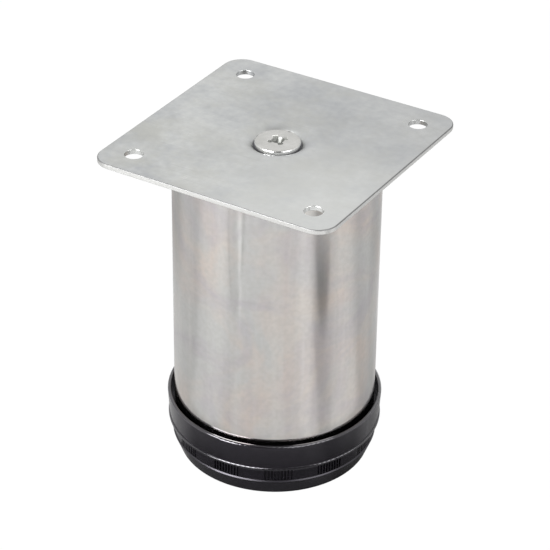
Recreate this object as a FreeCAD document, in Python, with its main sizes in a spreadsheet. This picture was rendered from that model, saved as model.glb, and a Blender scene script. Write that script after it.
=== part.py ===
import FreeCAD, Part
import Sketcher
import os

# Height adjustable table leg: a polished steel tube with a screwed mounting plate on top and a
# black plastic foot below that screws in and out on a steel spindle.
# Millimetres. The origin is on the floor at the middle of the foot, and +Z points up.

DOCUMENT = FreeCAD.newDocument("table_leg")

# Driving sizes. Every sub-part below takes its sizes and its place from these cells.
SIZES = {
    # overall height with the foot screwed fully in
    "total_height": 102.3,
    # mounting plate, pressed from sheet, with a dish for the screw's head
    "plate_side": 76.0,
    "plate_thickness": 1.5,
    "plate_corner_radius": 6.0,
    "plate_edge_round": 0.3,
    "hole_pitch": 58.0,
    "hole_diameter": 5.4,
    "dish_depth": 2.0,
    "dish_floor_radius": 6.9,
    "dish_slope_width": 2.1,
    "dish_mouth_bend": 3.4,
    "dish_floor_bend": 0.45,
    # screw that pulls the plate's dish onto the bridge
    "screw_diameter": 6.0,
    "screw_length": 12.0,
    "screw_tip_chamfer": 0.8,
    "screw_head_diameter": 13.2,
    "screw_head_height": 1.7,
    "screw_head_round": 0.6,
    "screw_hole_clearance": 0.2,
    "recess_span": 5.8,
    "recess_wing_width": 1.5,
    "recess_depth": 1.4,
    "recess_taper": 1.0,
    "recess_angle": 50.0,
    # bridge welded across the inside of the tube, and the nut under it
    "bridge_thickness": 2.5,
    "bridge_width": 26.0,
    "bridge_tab_height": 12.0,
    "bridge_bend_radius": 1.5,
    "bridge_nut_width": 10.0,
    "bridge_nut_height": 5.0,
    "thread_clearance": 0.05,
    # tube
    "tube_diameter": 60.0,
    "tube_wall": 1.0,
    # plastic socket that closes the tube, with its beaded collar outside the tube's end
    "socket_level": 10.0,
    "socket_floor": 1.55,
    "collar_height": 8.75,
    "collar_wall": 1.0,
    "collar_draft": 0.5,
    "collar_gap": 1.05,
    "collar_round": 0.45,
    "collar_lip_round": 0.25,
    "bead_height": 0.85,
    "bead_proud": 0.3,
    "bead_round": 0.25,
    "plug_height": 18.0,
    "plug_wall": 2.0,
    "plug_lead": 0.8,
    "plug_clearance": 0.05,
    "boss_radius": 11.5,
    "boss_height": 13.0,
    "socket_web_count": 8,
    "socket_web_thickness": 1.8,
    "socket_web_height": 12.0,
    # steel spindle with a hexagon head, and the nut that it turns in
    "spindle_diameter": 9.9,
    "spindle_chamfer": 1.2,
    "spindle_spare": 9.0,
    "spindle_head_width": 16.0,
    "spindle_head_height": 6.4,
    "spindle_nut_width": 16.0,
    "spindle_nut_height": 8.4,
    "hexagon_inset": 0.2,
    "running_clearance": 0.05,
    "pocket_clearance": 0.05,
    # how far the foot screws out
    "foot_travel": 15.0,
    # plastic foot that the hand turns, with its groups of grip grooves
    "foot_radius": 30.3,
    "foot_gap": 0.7,
    "foot_stop_gap": 0.1,
    "foot_edge_round": 0.5,
    "foot_disc": 2.0,
    "foot_shoulder": 5.6,
    "foot_skirt_wall": 2.2,
    "foot_hub_radius": 11.5,
    "foot_web_count": 8,
    "foot_web_thickness": 1.6,
    "grip_group_count": 12,
    "grip_first_angle": 3.9,
    "groove_count": 9,
    "groove_pitch": 0.95,
    "groove_width": 0.55,
    "groove_floor_width": 0.25,
    "groove_depth": 0.45,
    # plastic glide that stays still on the floor while the foot turns in it
    "glide_proud": 0.3,
    "glide_draft": 2.0,
    "glide_base_round": 0.3,
    "glide_rim_height": 5.45,
    "glide_rim_chamfer": 0.3,
    "glide_floor_level": 1.8,
    "glide_recess_depth": 0.8,
    "glide_standing_width": 5.8,
    "glide_wall": 2.6,
    "snap_hold": 0.5,
    "snap_clearance": 0.3,
    "snap_height": 0.8,
}


def fill_sheet(document, sizes):
    """Put every driving size into a spreadsheet cell under its own name."""
    sheet = document.addObject("Spreadsheet::Sheet", "Sizes")
    for row, (alias, number) in enumerate(sizes.items(), start=1):
        sheet.set(f"A{row}", alias)
        sheet.set(f"B{row}", str(number))
        sheet.setAlias(f"B{row}", alias)
    document.recompute()
    return sheet


SHEET = fill_sheet(DOCUMENT, SIZES)


def cell(alias):
    """The expression that reads one cell of the sheet."""
    return f"Sizes.{alias}"


def value(expression):
    """The number that an expression gives now."""
    return float(SHEET.evalExpression(expression))


# Radii and levels that several sub-parts share, worked out from the cells.
PLATE_TOP = cell("total_height")
PLATE_UNDERSIDE = f"({PLATE_TOP} - {cell('plate_thickness')})"
DISH_FLOOR = f"({PLATE_TOP} - {cell('dish_depth')})"
BRIDGE_TOP = f"({DISH_FLOOR} - {cell('plate_thickness')})"
BRIDGE_UNDERSIDE = f"({BRIDGE_TOP} - {cell('bridge_thickness')})"
SCREW_RADIUS = f"({cell('screw_diameter')} / 2)"
SCREW_HOLE_RADIUS = f"({SCREW_RADIUS} + {cell('screw_hole_clearance')})"
TUBE_RADIUS = f"({cell('tube_diameter')} / 2)"
TUBE_BORE_RADIUS = f"({TUBE_RADIUS} - {cell('tube_wall')})"
SOCKET_UNDERSIDE = cell("socket_level")
TUBE_BOTTOM = f"({SOCKET_UNDERSIDE} + {cell('socket_floor')})"
PLUG_RADIUS = f"({TUBE_BORE_RADIUS} - {cell('plug_clearance')})"
SPINDLE_RADIUS = f"({cell('spindle_diameter')} / 2)"
SPINDLE_BORE_RADIUS = f"({SPINDLE_RADIUS} + {cell('running_clearance')})"
SPINDLE_NUT_UNDERSIDE = f"({SOCKET_UNDERSIDE} + {cell('hexagon_inset')})"
SPINDLE_NUT_TOP = f"({SPINDLE_NUT_UNDERSIDE} + {cell('spindle_nut_height')})"
GLIDE_FLOOR = cell("glide_floor_level")
GLIDE_RADIUS = f"({cell('foot_radius')} + {cell('glide_proud')})"
SPINDLE_HEAD_UNDERSIDE = f"({GLIDE_FLOOR} + {cell('hexagon_inset')})"
SPINDLE_HEAD_TOP = f"({SPINDLE_HEAD_UNDERSIDE} + {cell('spindle_head_height')})"
SPINDLE_TOP = f"({SPINDLE_NUT_TOP} + {cell('foot_travel')} + {cell('spindle_spare')})"
FOOT_TOP = f"({SOCKET_UNDERSIDE} - {cell('foot_gap')})"
FOOT_HUB_TOP = f"({SOCKET_UNDERSIDE} - {cell('foot_stop_gap')})"
FOOT_DISC_UNDERSIDE = f"({FOOT_TOP} - {cell('foot_disc')})"
GLIDE_BORE_RADIUS = f"({GLIDE_RADIUS} - {cell('glide_wall')})"
SNAP_CATCH_RADIUS = f"({GLIDE_BORE_RADIUS} - {cell('snap_clearance')})"
SNAP_GROOVE_RADIUS = f"({SNAP_CATCH_RADIUS} - {cell('snap_hold')} - {cell('snap_clearance')})"
SNAP_LIP_RADIUS = f"({SNAP_GROOVE_RADIUS} + {cell('snap_clearance')})"
SNAP_CATCH_TOP = f"({GLIDE_FLOOR} + {cell('snap_height')})"
SNAP_LIP_UNDERSIDE = f"({SNAP_CATCH_TOP} + {cell('snap_clearance')})"


def new_body(label):
    """A body for one sub-part. Its label names its file."""
    body = DOCUMENT.addObject("PartDesign::Body", label)
    body.Label = label
    body.Placement = FreeCAD.Placement()
    return body


def origin_feature(body, role):
    """One of the body's own origin planes or axes."""
    return next(item for item in body.Origin.OriginFeatures if item.Role == role)


def new_sketch(body, name, plane, level="0"):
    """A sketch on one of the body's origin planes, lifted along its normal to a level."""
    sketch = body.newObject("Sketcher::SketchObject", name)
    sketch.AttachmentSupport = [(origin_feature(body, plane), "")]
    sketch.MapMode = "FlatFace"
    if level != "0":
        sketch.setExpression("AttachmentOffset.Base.z", level)
    return sketch


def hold(sketch, direction, geometry, point, expression):
    """Fix one coordinate of a sketch point to an expression."""
    number = value(expression)
    constraint = Sketcher.Constraint(direction, -1, 1, geometry, point, number)
    index = sketch.addConstraint(constraint)
    if expression != "0":
        sketch.setExpression(f"Constraints[{index}]", expression)


def draw_outline(sketch, corners):
    """A closed chain of lines. Each corner is a pair of expressions."""
    points = [FreeCAD.Vector(value(x), value(y), 0) for x, y in corners]
    first = sketch.GeometryCount
    count = len(points)
    for index, start in enumerate(points):
        sketch.addGeometry(Part.LineSegment(start, points[(index + 1) % count]), False)
    for index, (x, y) in enumerate(corners):
        line = first + index
        following = first + (index + 1) % count
        sketch.addConstraint(Sketcher.Constraint("Coincident", line, 2, following, 1))
        hold(sketch, "DistanceX", line, 1, x)
        hold(sketch, "DistanceY", line, 1, y)


def draw_circle(sketch, x, y, radius):
    """A circle whose centre and radius are expressions."""
    centre = FreeCAD.Vector(value(x), value(y), 0)
    circle = Part.Circle(centre, FreeCAD.Vector(0, 0, 1), value(radius))
    geometry = sketch.addGeometry(circle, False)
    hold(sketch, "DistanceX", geometry, 3, x)
    hold(sketch, "DistanceY", geometry, 3, y)
    index = sketch.addConstraint(Sketcher.Constraint("Radius", geometry, value(radius)))
    sketch.setExpression(f"Constraints[{index}]", radius)


def turned(body, name, corners, kind="PartDesign::Revolution"):
    """A profile in the XZ plane turned once round the Z axis, added or cut away."""
    sketch = new_sketch(body, f"{name}_profile", "XZ_Plane")
    draw_outline(sketch, corners)
    feature = body.newObject(kind, name)
    feature.Profile = sketch
    feature.ReferenceAxis = (sketch, ["V_Axis"])
    feature.Angle = 360
    DOCUMENT.recompute()
    return feature


def padded(body, name, sketch, length):
    """A sketch carried upwards by a length."""
    feature = body.newObject("PartDesign::Pad", name)
    feature.Profile = sketch
    feature.setExpression("Length", length)
    DOCUMENT.recompute()
    return feature


def pocketed(body, name, sketch, length, upwards=False):
    """A sketch cut away, downwards unless told otherwise."""
    feature = body.newObject("PartDesign::Pocket", name)
    feature.Profile = sketch
    feature.setExpression("Length", length)
    feature.Reversed = upwards
    DOCUMENT.recompute()
    return feature


def patterned(body, name, feature, count):
    """Equal copies of a feature round the Z axis."""
    pattern = body.newObject("PartDesign::PolarPattern", name)
    pattern.Originals = [feature]
    pattern.Axis = (origin_feature(body, "Z_Axis"), [""])
    pattern.Angle = 360
    pattern.setExpression("Occurrences", count)
    body.Tip = pattern
    DOCUMENT.recompute()
    return pattern


def ring_edges(shape, radius, level):
    """Names of the edges that lie on the circle of a radius at a level round the Z axis."""
    names = []
    for index, edge in enumerate(shape.Edges, start=1):
        middle = edge.valueAt((edge.FirstParameter + edge.LastParameter) / 2)
        ends = [vertex.Point for vertex in edge.Vertexes] + [middle]
        on_level = all(abs(point.z - level) < 0.001 for point in ends)
        on_radius = all(abs((point.x**2 + point.y**2) ** 0.5 - radius) < 0.001 for point in ends)
        if on_level and on_radius:
            names.append(f"Edge{index}")
    return names


def rounded(body, name, base, edges, radius):
    """A fillet on named edges of the feature before it."""
    fillet = body.newObject("PartDesign::Fillet", name)
    fillet.Base = (base, edges)
    fillet.setExpression("Radius", radius)
    DOCUMENT.recompute()
    return fillet


def round_ring(body, name, base, radius, level, fillet_radius):
    """A fillet along the circle of a radius at a level."""
    edges = ring_edges(base.Shape, value(radius), value(level))
    return rounded(body, name, base, edges, fillet_radius)


def hexagon(width):
    """The six corners of a hexagon, as expressions, from its width across flats."""
    corner = f"({width} / sqrt(3))"
    return [
        (f"({corner} * cos({60 * step} deg))", f"({corner} * sin({60 * step} deg))")
        for step in range(6)
    ]


def make_mounting_plate():
    """Square plate with rounded corners, four holes and a dish round the screw hole."""
    body = new_body("mounting_plate")
    half = f"({cell('plate_side')} / 2)"
    outline = new_sketch(body, "plate_outline", "XY_Plane", PLATE_UNDERSIDE)
    square = [
        (half, half),
        (f"(-{half})", half),
        (f"(-{half})", f"(-{half})"),
        (half, f"(-{half})"),
    ]
    draw_outline(outline, square)
    sheet = padded(body, "plate_sheet", outline, cell("plate_thickness"))
    upright = [
        f"Edge{index}"
        for index, edge in enumerate(sheet.Shape.Edges, start=1)
        if abs(edge.Vertexes[0].Z - edge.Vertexes[1].Z) > 0.001
    ]
    corners = rounded(body, "plate_corners", sheet, upright, cell("plate_corner_radius"))
    rim = [f"Edge{index + 1}" for index in range(len(corners.Shape.Edges))
           if abs(corners.Shape.Edges[index].BoundBox.ZLength) < 0.001]
    rounded(body, "plate_edges", corners, rim, cell("plate_edge_round"))

    floor = cell("dish_floor_radius")
    mouth = f"({floor} + {cell('dish_slope_width')})"
    slope = f"atan({cell('dish_depth')} / {cell('dish_slope_width')})"
    shift = f"({cell('plate_thickness')} * tan({slope} / 2))"
    mouth_below = f"({mouth} + {shift})"
    floor_below = f"({floor} + {shift})"
    opening = [("0", PLATE_TOP), ("0", PLATE_UNDERSIDE), (mouth_below, PLATE_UNDERSIDE), (mouth, PLATE_TOP)]
    turned(body, "dish_opening", opening, "PartDesign::Groove")
    dish = [
        (mouth, PLATE_TOP),
        (floor, DISH_FLOOR),
        (SCREW_HOLE_RADIUS, DISH_FLOOR),
        (SCREW_HOLE_RADIUS, BRIDGE_TOP),
        (floor_below, BRIDGE_TOP),
        (mouth_below, PLATE_UNDERSIDE),
    ]
    feature = turned(body, "dish", dish)
    mouth_inside = cell("dish_mouth_bend")
    mouth_outside = f"({mouth_inside} + {cell('plate_thickness')})"
    floor_inside = cell("dish_floor_bend")
    floor_outside = f"({floor_inside} + {cell('plate_thickness')})"
    feature = round_ring(body, "mouth_bend", feature, mouth, PLATE_TOP, mouth_outside)
    feature = round_ring(body, "mouth_bend_below", feature, mouth_below, PLATE_UNDERSIDE, mouth_inside)
    feature = round_ring(body, "floor_bend", feature, floor, DISH_FLOOR, floor_inside)
    round_ring(body, "floor_bend_below", feature, floor_below, BRIDGE_TOP, floor_outside)

    place = f"({cell('hole_pitch')} / 2)"
    hole_sketch = new_sketch(body, "hole_outline", "XY_Plane", PLATE_TOP)
    draw_circle(hole_sketch, place, place, f"({cell('hole_diameter')} / 2)")
    hole = pocketed(body, "mounting_hole", hole_sketch, cell("plate_thickness"))
    patterned(body, "mounting_holes", hole, "4")
    return body


def make_plate_screw():
    """Flat-headed screw with a cross recess."""
    body = new_body("plate_screw")
    head_radius = f"({cell('screw_head_diameter')} / 2)"
    head_top = f"({DISH_FLOOR} + {cell('screw_head_height')})"
    tip = f"({DISH_FLOOR} - {cell('screw_length')})"
    chamfer = cell("screw_tip_chamfer")
    profile = [
        ("0", head_top),
        (head_radius, head_top),
        (head_radius, DISH_FLOOR),
        (SCREW_RADIUS, DISH_FLOOR),
        (SCREW_RADIUS, f"({tip} + {chamfer})"),
        (f"({SCREW_RADIUS} - {chamfer})", tip),
        ("0", tip),
    ]
    blank = turned(body, "screw_blank", profile)
    round_ring(body, "head_edge", blank, head_radius, head_top, cell("screw_head_round"))

    mouth = new_sketch(body, "recess_mouth", "XY_Plane", head_top)
    draw_outline(mouth, cross(cell("recess_span"), cell("recess_wing_width")))
    depth = f"({head_top} - {cell('recess_depth')})"
    floor = new_sketch(body, "recess_floor", "XY_Plane", depth)
    narrowed = f"({cell('recess_span')} - 2 * {cell('recess_taper')})"
    draw_outline(floor, cross(narrowed, f"({cell('recess_wing_width')} / 2)"))
    recess = body.newObject("PartDesign::SubtractiveLoft", "recess")
    recess.Profile = mouth
    recess.Sections = [floor]
    recess.Ruled = True
    body.Tip = recess
    DOCUMENT.recompute()
    return body


def cross(span, wing):
    """The twelve corners of a cross turned to the recess angle, from its span and wing width."""
    reach = f"({span} / 2)"
    half = f"({wing} / 2)"
    corners = []
    for step in range(4):
        angle = f"({cell('recess_angle')} * 1 deg + {90 * step} deg)"
        for along, aside in ((half, f"(-{half})"), (reach, f"(-{half})"), (reach, half)):
            corners.append(turned_point(along, aside, angle))
    return corners


def turned_point(along, aside, angle):
    """A point given along and across a direction, as a pair of expressions."""
    x = f"({along} * cos({angle}) - {aside} * sin({angle}))"
    y = f"({along} * sin({angle}) + {aside} * cos({angle}))"
    return x, y


def make_top_bridge():
    """Strap folded down at both ends to follow the tube's inside, where it is welded."""
    body = new_body("top_bridge")
    outside = f"({TUBE_BORE_RADIUS} - {cell('plug_clearance')})"
    inside = f"({outside} - {cell('bridge_thickness')})"
    tab_end = f"({BRIDGE_TOP} - {cell('bridge_tab_height')})"
    profile = [
        (SCREW_HOLE_RADIUS, BRIDGE_TOP),
        (outside, BRIDGE_TOP),
        (outside, tab_end),
        (inside, tab_end),
        (inside, BRIDGE_UNDERSIDE),
        (SCREW_HOLE_RADIUS, BRIDGE_UNDERSIDE),
    ]
    feature = turned(body, "folded_cup", profile)
    inner_bend = cell("bridge_bend_radius")
    outer_bend = f"({inner_bend} + {cell('bridge_thickness')})"
    feature = round_ring(body, "outer_bend", feature, outside, BRIDGE_TOP, outer_bend)
    round_ring(body, "inner_bend", feature, inside, BRIDGE_UNDERSIDE, inner_bend)

    side = f"({cell('bridge_width')} / 2)"
    trim = new_sketch(body, "trim_outline", "XY_Plane", BRIDGE_TOP)
    far = cell("tube_diameter")
    corners = [(f"(-{far})", side), (far, side), (far, far), (f"(-{far})", far)]
    draw_outline(trim, corners)
    side_cut = pocketed(body, "side_cut", trim, f"(2 * {cell('bridge_tab_height')})")
    patterned(body, "side_cuts", side_cut, "2")
    return body


def make_nut(label, width, thickness, underside, bore_radius):
    """Hexagon nut with turned corners on both faces."""
    body = new_body(label)
    sketch = new_sketch(body, f"{label}_hexagon", "XY_Plane", underside)
    draw_outline(sketch, hexagon(width))
    padded(body, f"{label}_blank", sketch, thickness)
    top = f"({underside} + {thickness})"
    turn_hexagon_corners(body, f"{label}_lower_corners", width, underside, "+")
    turn_hexagon_corners(body, f"{label}_upper_corners", width, top, "-")
    bore = new_sketch(body, f"{label}_bore_outline", "XY_Plane", top)
    draw_circle(bore, "0", "0", bore_radius)
    pocketed(body, f"{label}_bore", bore, thickness)
    return body


def turn_hexagon_corners(body, name, width, face, inward):
    """Cut a hexagon's corners back at 30 degrees at one face. Inward is the sign from the face into it."""
    flat = f"({width} / 2)"
    outside = f"(2 * {width} / sqrt(3) - {flat})"
    fall = f"(({outside} - {flat}) * tan(30 deg))"
    corners = [(flat, face), (outside, face), (outside, f"({face} {inward} {fall})")]
    return turned(body, name, corners, "PartDesign::Groove")


def make_leg_tube():
    """Plain tube from the socket's floor to the plate's underside."""
    body = new_body("leg_tube")
    section = new_sketch(body, "tube_section", "XY_Plane", TUBE_BOTTOM)
    draw_circle(section, "0", "0", TUBE_RADIUS)
    draw_circle(section, "0", "0", TUBE_BORE_RADIUS)
    padded(body, "tube_wall", section, f"({PLATE_UNDERSIDE} - {TUBE_BOTTOM})")
    return body


def make_end_socket():
    """Moulded socket: collar with a bead outside the tube, plug inside it, and a webbed boss for the nut."""
    body = new_body("end_socket")
    collar_bore = f"({TUBE_RADIUS} + {cell('collar_gap')})"
    collar_top = f"({SOCKET_UNDERSIDE} + {cell('collar_height')})"
    collar_top_radius = f"({collar_bore} + {cell('collar_wall')})"
    collar_radius = f"({collar_top_radius} - {cell('collar_draft')})"
    bead_radius = f"({collar_radius} + {cell('bead_proud')})"
    bead_top = f"({SOCKET_UNDERSIDE} + {cell('bead_height')})"
    plug_top = f"({TUBE_BOTTOM} + {cell('plug_height')})"
    plug_bore = f"({PLUG_RADIUS} - {cell('plug_wall')})"
    boss_top = f"({TUBE_BOTTOM} + {cell('boss_height')})"
    profile = [
        (SPINDLE_BORE_RADIUS, SOCKET_UNDERSIDE),
        (bead_radius, SOCKET_UNDERSIDE),
        (bead_radius, bead_top),
        (collar_radius, bead_top),
        (collar_top_radius, collar_top),
        (collar_bore, collar_top),
        (collar_bore, TUBE_BOTTOM),
        (PLUG_RADIUS, TUBE_BOTTOM),
        (PLUG_RADIUS, f"({plug_top} - {cell('plug_lead')})"),
        (f"({PLUG_RADIUS} - {cell('plug_lead')} / 2)", plug_top),
        (plug_bore, plug_top),
        (plug_bore, TUBE_BOTTOM),
        (cell("boss_radius"), TUBE_BOTTOM),
        (cell("boss_radius"), boss_top),
        (SPINDLE_BORE_RADIUS, boss_top),
    ]
    feature = turned(body, "socket_walls", profile)
    edge = cell("collar_round")
    feature = round_ring(body, "collar_top_edge", feature, collar_top_radius, collar_top, edge)
    bead = cell("bead_round")
    feature = round_ring(body, "bead_top_edge", feature, bead_radius, bead_top, bead)
    feature = round_ring(body, "bead_lower_edge", feature, bead_radius, SOCKET_UNDERSIDE, bead)
    lip = cell("collar_lip_round")
    round_ring(body, "collar_lip", feature, collar_bore, collar_top, lip)

    web_sketch = new_sketch(body, "web_outline", "XY_Plane", SOCKET_UNDERSIDE)
    start = f"({cell('boss_radius')} - {cell('plug_wall')} / 2)"
    end = f"({plug_bore} + {cell('plug_wall')} / 2)"
    draw_outline(web_sketch, bar(start, end, cell("socket_web_thickness")))
    web_length = f"({cell('socket_floor')} + {cell('socket_web_height')})"
    web = padded(body, "socket_web", web_sketch, web_length)
    patterned(body, "socket_webs", web, cell("socket_web_count"))

    pocket_sketch = new_sketch(body, "nut_pocket_outline", "XY_Plane", SOCKET_UNDERSIDE)
    pocket_width = f"({cell('spindle_nut_width')} + 2 * {cell('pocket_clearance')})"
    draw_outline(pocket_sketch, hexagon(pocket_width))
    pocketed(body, "nut_pocket", pocket_sketch, f"({SPINDLE_NUT_TOP} - {SOCKET_UNDERSIDE})", upwards=True)
    return body


def bar(start, end, thickness):
    """The four corners of a bar that lies along X from start to end."""
    side = f"({thickness} / 2)"
    return [(start, f"(-{side})"), (end, f"(-{side})"), (end, side), (start, side)]


def make_foot_spindle():
    """Spindle with a hexagon head that is held in the foot's hub."""
    body = new_body("foot_spindle")
    sketch = new_sketch(body, "head_hexagon", "XY_Plane", SPINDLE_HEAD_UNDERSIDE)
    draw_outline(sketch, hexagon(cell("spindle_head_width")))
    padded(body, "head_blank", sketch, cell("spindle_head_height"))
    turn_hexagon_corners(body, "head_corners", cell("spindle_head_width"), SPINDLE_HEAD_UNDERSIDE, "+")
    chamfer = cell("spindle_chamfer")
    shank = [
        ("0", SPINDLE_HEAD_TOP),
        (SPINDLE_RADIUS, SPINDLE_HEAD_TOP),
        (SPINDLE_RADIUS, f"({SPINDLE_TOP} - {chamfer})"),
        (f"({SPINDLE_RADIUS} - {chamfer})", SPINDLE_TOP),
        ("0", SPINDLE_TOP),
    ]
    turned(body, "shank", shank)
    return body


def make_adjusting_foot():
    """Moulded foot that the hand turns: grip band, top disc, hub and skirt, with webs below."""
    body = new_body("adjusting_foot")
    hub = cell("foot_hub_radius")
    skirt_bore = f"({SNAP_GROOVE_RADIUS} - {cell('foot_skirt_wall')})"
    profile = [
        (SPINDLE_BORE_RADIUS, FOOT_HUB_TOP),
        (hub, FOOT_HUB_TOP),
        (hub, FOOT_TOP),
        (cell("foot_radius"), FOOT_TOP),
        (cell("foot_radius"), cell("foot_shoulder")),
        (SNAP_GROOVE_RADIUS, cell("foot_shoulder")),
        (SNAP_GROOVE_RADIUS, SNAP_CATCH_TOP),
        (SNAP_CATCH_RADIUS, SNAP_CATCH_TOP),
        (SNAP_CATCH_RADIUS, GLIDE_FLOOR),
        (skirt_bore, GLIDE_FLOOR),
        (skirt_bore, FOOT_DISC_UNDERSIDE),
        (hub, FOOT_DISC_UNDERSIDE),
        (hub, GLIDE_FLOOR),
        (SPINDLE_BORE_RADIUS, GLIDE_FLOOR),
    ]
    feature = turned(body, "foot_walls", profile)
    round_ring(body, "foot_edge", feature, cell("foot_radius"), FOOT_TOP, cell("foot_edge_round"))

    web_sketch = new_sketch(body, "foot_web_outline", "XY_Plane", SPINDLE_HEAD_UNDERSIDE)
    overlap = f"({cell('foot_skirt_wall')} / 2)"
    start = f"({hub} - {overlap})"
    end = f"({skirt_bore} + {overlap})"
    draw_outline(web_sketch, bar(start, end, cell("foot_web_thickness")))
    web = padded(body, "foot_web", web_sketch, f"({FOOT_DISC_UNDERSIDE} - {SPINDLE_HEAD_UNDERSIDE})")
    patterned(body, "foot_webs", web, cell("foot_web_count"))

    pocket_sketch = new_sketch(body, "head_pocket_outline", "XY_Plane", GLIDE_FLOOR)
    pocket_width = f"({cell('spindle_head_width')} + 2 * {cell('pocket_clearance')})"
    draw_outline(pocket_sketch, hexagon(pocket_width))
    pocketed(body, "head_pocket", pocket_sketch, f"({SPINDLE_HEAD_TOP} - {GLIDE_FLOOR})", upwards=True)

    grooves = new_sketch(body, "grip_groove_outlines", "XY_Plane", FOOT_TOP)
    for index in range(int(value(cell("groove_count")))):
        draw_outline(grooves, groove_corners(index))
    group = pocketed(body, "grip_group", grooves, f"({FOOT_TOP} - {cell('foot_shoulder')})")
    patterned(body, "grip_groups", group, cell("grip_group_count"))
    return body


def groove_corners(index):
    """The four corners of one grip groove, counted across its group."""
    steps = f"({index} - ({cell('groove_count')} - 1) / 2)"
    swing = f"({steps} * {cell('groove_pitch')} / {cell('foot_radius')} * 1 rad)"
    angle = f"({cell('grip_first_angle')} * 1 deg + {swing})"
    mouth = f"({cell('foot_radius')} + {cell('groove_depth')})"
    floor = f"({cell('foot_radius')} - {cell('groove_depth')})"
    # The groove's sides flare outwards, so its mouth is drawn wider, beyond the band's surface.
    half_mouth = f"({cell('groove_width')} - {cell('groove_floor_width')} / 2)"
    half_floor = f"({cell('groove_floor_width')} / 2)"
    return [
        turned_point(floor, f"(-{half_floor})", angle),
        turned_point(mouth, f"(-{half_mouth})", angle),
        turned_point(mouth, half_mouth, angle),
        turned_point(floor, half_floor, angle),
    ]


def make_foot_glide():
    """Shallow dish that snaps over the foot's skirt and stands on the floor."""
    body = new_body("foot_glide")
    rim = cell("glide_rim_height")
    chamfer = cell("glide_rim_chamfer")
    base_radius = f"({GLIDE_RADIUS} - {cell('glide_draft')})"
    recess_radius = f"({base_radius} - {cell('glide_standing_width')})"
    profile = [
        ("0", cell("glide_recess_depth")),
        (recess_radius, cell("glide_recess_depth")),
        (recess_radius, "0"),
        (base_radius, "0"),
        (GLIDE_RADIUS, f"({rim} - {chamfer})"),
        (f"({GLIDE_RADIUS} - {chamfer})", rim),
        (SNAP_LIP_RADIUS, rim),
        (SNAP_LIP_RADIUS, f"({SNAP_LIP_UNDERSIDE} + {cell('snap_hold')} / 2)"),
        (GLIDE_BORE_RADIUS, SNAP_LIP_UNDERSIDE),
        (GLIDE_BORE_RADIUS, GLIDE_FLOOR),
        ("0", GLIDE_FLOOR),
    ]
    feature = turned(body, "glide_walls", profile)
    round_ring(body, "glide_base_edge", feature, base_radius, "0", cell("glide_base_round"))
    return body


def make_sub_parts():
    """Every sub-part, from the top of the leg down."""
    return [
        make_mounting_plate(),
        make_plate_screw(),
        make_top_bridge(),
        make_nut(
            "bridge_nut",
            cell("bridge_nut_width"),
            cell("bridge_nut_height"),
            f"({BRIDGE_UNDERSIDE} - {cell('bridge_nut_height')})",
            f"({SCREW_RADIUS} + {cell('thread_clearance')})",
        ),
        make_leg_tube(),
        make_end_socket(),
        make_nut(
            "spindle_nut",
            cell("spindle_nut_width"),
            cell("spindle_nut_height"),
            SPINDLE_NUT_UNDERSIDE,
            SPINDLE_BORE_RADIUS,
        ),
        make_foot_spindle(),
        make_adjusting_foot(),
        make_foot_glide(),
    ]


def check_document(bodies):
    """Stop before anything is written if an object failed or a solid isn't sound."""
    for item in DOCUMENT.Objects:
        if "Invalid" in item.State or "Error" in item.State:
            raise RuntimeError(f"{item.Name} failed: {item.State}")
    for body in bodies:
        shape = body.Shape
        if shape.isNull() or not shape.isValid() or len(shape.Solids) != 1:
            raise RuntimeError(f"{body.Label} is not one sound solid")


def write_parts(bodies):
    """One STEP file for each sub-part, named by its label."""
    os.makedirs("parts", exist_ok=True)
    for body in bodies:
        body.Shape.exportStep(f"parts/{body.Label}.step")
        box = body.Shape.BoundBox
        print(
            f"{body.Label}: {body.Shape.Volume:.1f} mm3,"
            f" X {box.XMin:.2f} to {box.XMax:.2f},"
            f" Y {box.YMin:.2f} to {box.YMax:.2f},"
            f" Z {box.ZMin:.2f} to {box.ZMax:.2f}"
        )


BODIES = make_sub_parts()
DOCUMENT.recompute()
check_document(BODIES)
write_parts(BODIES)
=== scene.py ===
# %% [markdown]
# # A height adjustable table leg
#
# The leg is a short steel tube with a square zinc-plated plate screwed to its top and a black moulded foot
# below. The construction model gives every piece its place and size. This script gives the pieces their
# looks: it makes finer surfaces for the plate, its screw, the tube and the threaded spindle, and paints all
# ten pieces with procedural materials. Everything is in metres.

import bmesh
import bpy
import numpy as np
from mathutils import Matrix, Vector


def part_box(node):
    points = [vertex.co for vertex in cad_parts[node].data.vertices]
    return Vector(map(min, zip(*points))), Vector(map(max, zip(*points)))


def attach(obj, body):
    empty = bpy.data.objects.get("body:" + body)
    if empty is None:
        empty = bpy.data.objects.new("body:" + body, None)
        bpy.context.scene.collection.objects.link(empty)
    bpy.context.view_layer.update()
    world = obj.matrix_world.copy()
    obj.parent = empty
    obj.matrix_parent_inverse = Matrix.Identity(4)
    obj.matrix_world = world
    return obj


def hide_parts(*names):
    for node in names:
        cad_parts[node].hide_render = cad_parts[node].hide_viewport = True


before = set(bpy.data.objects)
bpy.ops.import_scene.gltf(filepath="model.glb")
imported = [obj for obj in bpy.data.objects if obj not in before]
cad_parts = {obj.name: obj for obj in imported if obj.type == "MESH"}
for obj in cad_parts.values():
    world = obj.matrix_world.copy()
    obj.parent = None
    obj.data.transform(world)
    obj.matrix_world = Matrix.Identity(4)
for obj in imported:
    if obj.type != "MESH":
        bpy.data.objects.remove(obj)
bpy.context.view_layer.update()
MM = 0.001
print("nodes:", ", ".join(sorted(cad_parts)))

# %% [markdown]
# ## Sizes read from the frame
#
# A size that the construction model already holds is measured on it, so that a change there carries over.
# The levels of the plate, the tube and the spindle come from the boxes round their nodes. What a box can't
# tell, such as the radius of a bend, is a value with a name.

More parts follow.
